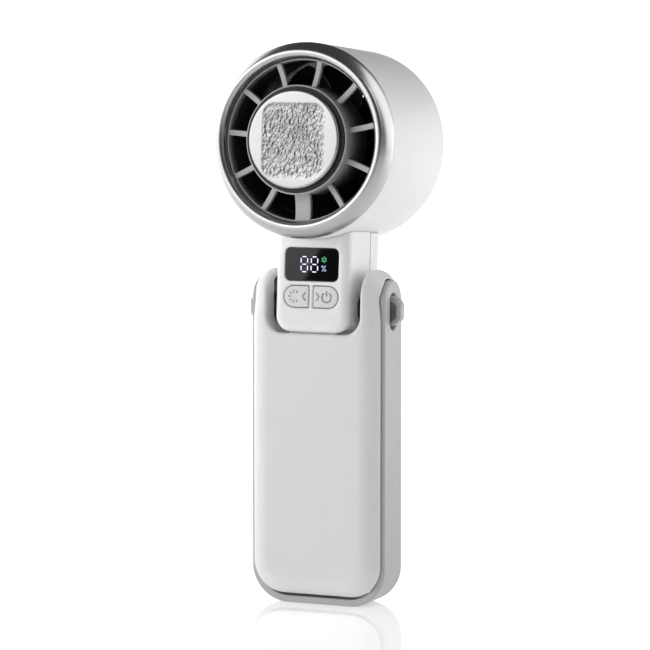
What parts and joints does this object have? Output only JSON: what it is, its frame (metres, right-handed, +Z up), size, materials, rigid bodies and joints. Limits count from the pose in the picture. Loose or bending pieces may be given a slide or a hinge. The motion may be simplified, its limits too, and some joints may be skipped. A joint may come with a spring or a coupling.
{
  "type": "handheld electric fan",
  "caption": "Handheld folding fan: round ducted head with a cold plate, a neck with display and buttons, and a flat forked handle the head folds back on",
  "frame": {"origin": "centre of the flat base of the handle", "axes": "+Z up along the handle, -Y is the front with the cold plate and the buttons, +X is to the right seen from the front"},
  "size_m": [0.0686, 0.0615, 0.2],
  "materials": {
    "frame_plastic": "fine-textured mid-grey moulding",
    "shell_plastic": "satin light grey-white moulding",
    "head_plastic": "satin near-white moulding",
    "black_plastic": "matt black moulding",
    "pin_steel": "bright steel",
    "bush_acetal": "black acetal",
    "cell_wrap": "shrink-wrapped cells, with the mean density of real cells",
    "tab_nickel": "nickel strip",
    "foam": "dense foam",
    "board": "solder-masked circuit board",
    "window_glass": "glossy black display window",
    "bezel_silver": "satin silver ring with a bright crest",
    "grille_plastic": "satin grey moulding",
    "plate_aluminium": "brushed rim, hammered centre",
    "sink_aluminium": "extruded aluminium",
    "gasket_rubber": "black silicone",
    "cooler_ceramic": "white ceramic faces",
    "cable_film": "polyimide flat cable",
    "coil_copper": "enamelled copper wire"
  },
  "bodies": {
    "handle": {"side_frame": "frame_plastic", "handle_front_shell": "shell_plastic", "handle_rear_shell": "shell_plastic", "hinge_yoke": "black_plastic", "hinge_pin_left": "pin_steel", "hinge_pin_right": "pin_steel", "friction_washers": "pin_steel", "strap_bar_left": "frame_plastic", "strap_bar_right": "frame_plastic", "handle_screws": "pin_steel", "battery_cells": "cell_wrap", "battery_tabs": "tab_nickel", "battery_foam": "foam", "main_board": "board", "board_parts": "black_plastic", "charge_board": "board", "charge_port": "pin_steel"},
    "head": {"neck_front_shell": "head_plastic", "neck_rear_shell": "head_plastic", "hinge_bush_left": "bush_acetal", "hinge_bush_right": "bush_acetal", "display_window": "window_glass", "display_module": "black_plastic", "control_board": "board", "button_switches": "black_plastic", "neck_screws": "pin_steel", "head_housing": "head_plastic", "front_bezel": "bezel_silver", "front_grille": "grille_plastic", "air_duct": "black_plastic", "rear_grille": "black_plastic", "cold_plate": "plate_aluminium", "plate_gasket": "gasket_rubber", "cooling_module": "cooler_ceramic", "heat_sink": "sink_aluminium", "plate_cable": "cable_film", "motor_mount": "black_plastic", "motor_stator": "pin_steel", "motor_windings": "coil_copper", "motor_board": "board", "motor_bearings": "pin_steel", "head_screws": "pin_steel"},
    "fan_rotor": {"impeller": "black_plastic", "rotor_cup": "pin_steel", "rotor_magnets": "pin_steel", "motor_shaft": "pin_steel"},
    "left_key": {"left_button": "head_plastic"},
    "right_key": {"right_button": "head_plastic"}
  },
  "joints": [
    {"name": "head_fold", "type": "hinge", "parent": "handle", "child": "head", "pos_m": [0, 0, 0.106], "axis": [-1, 0, 0], "range_deg": [0, 86.4]},
    {"name": "impeller_spin", "type": "hinge", "parent": "head", "child": "fan_rotor", "pos_m": [0, 0.00367, 0.16428], "axis": [0, 0.998, -0.0628], "continuous": true},
    {"name": "left_button_press", "type": "slide", "parent": "head", "child": "left_key", "axis": [0, 0.998, -0.0628], "range_m": [0, 0.0005], "stiffness_N_per_m": 3000},
    {"name": "right_button_press", "type": "slide", "parent": "head", "child": "right_key", "axis": [0, 0.998, -0.0628], "range_m": [0, 0.0005], "stiffness_N_per_m": 3000}
  ]
}
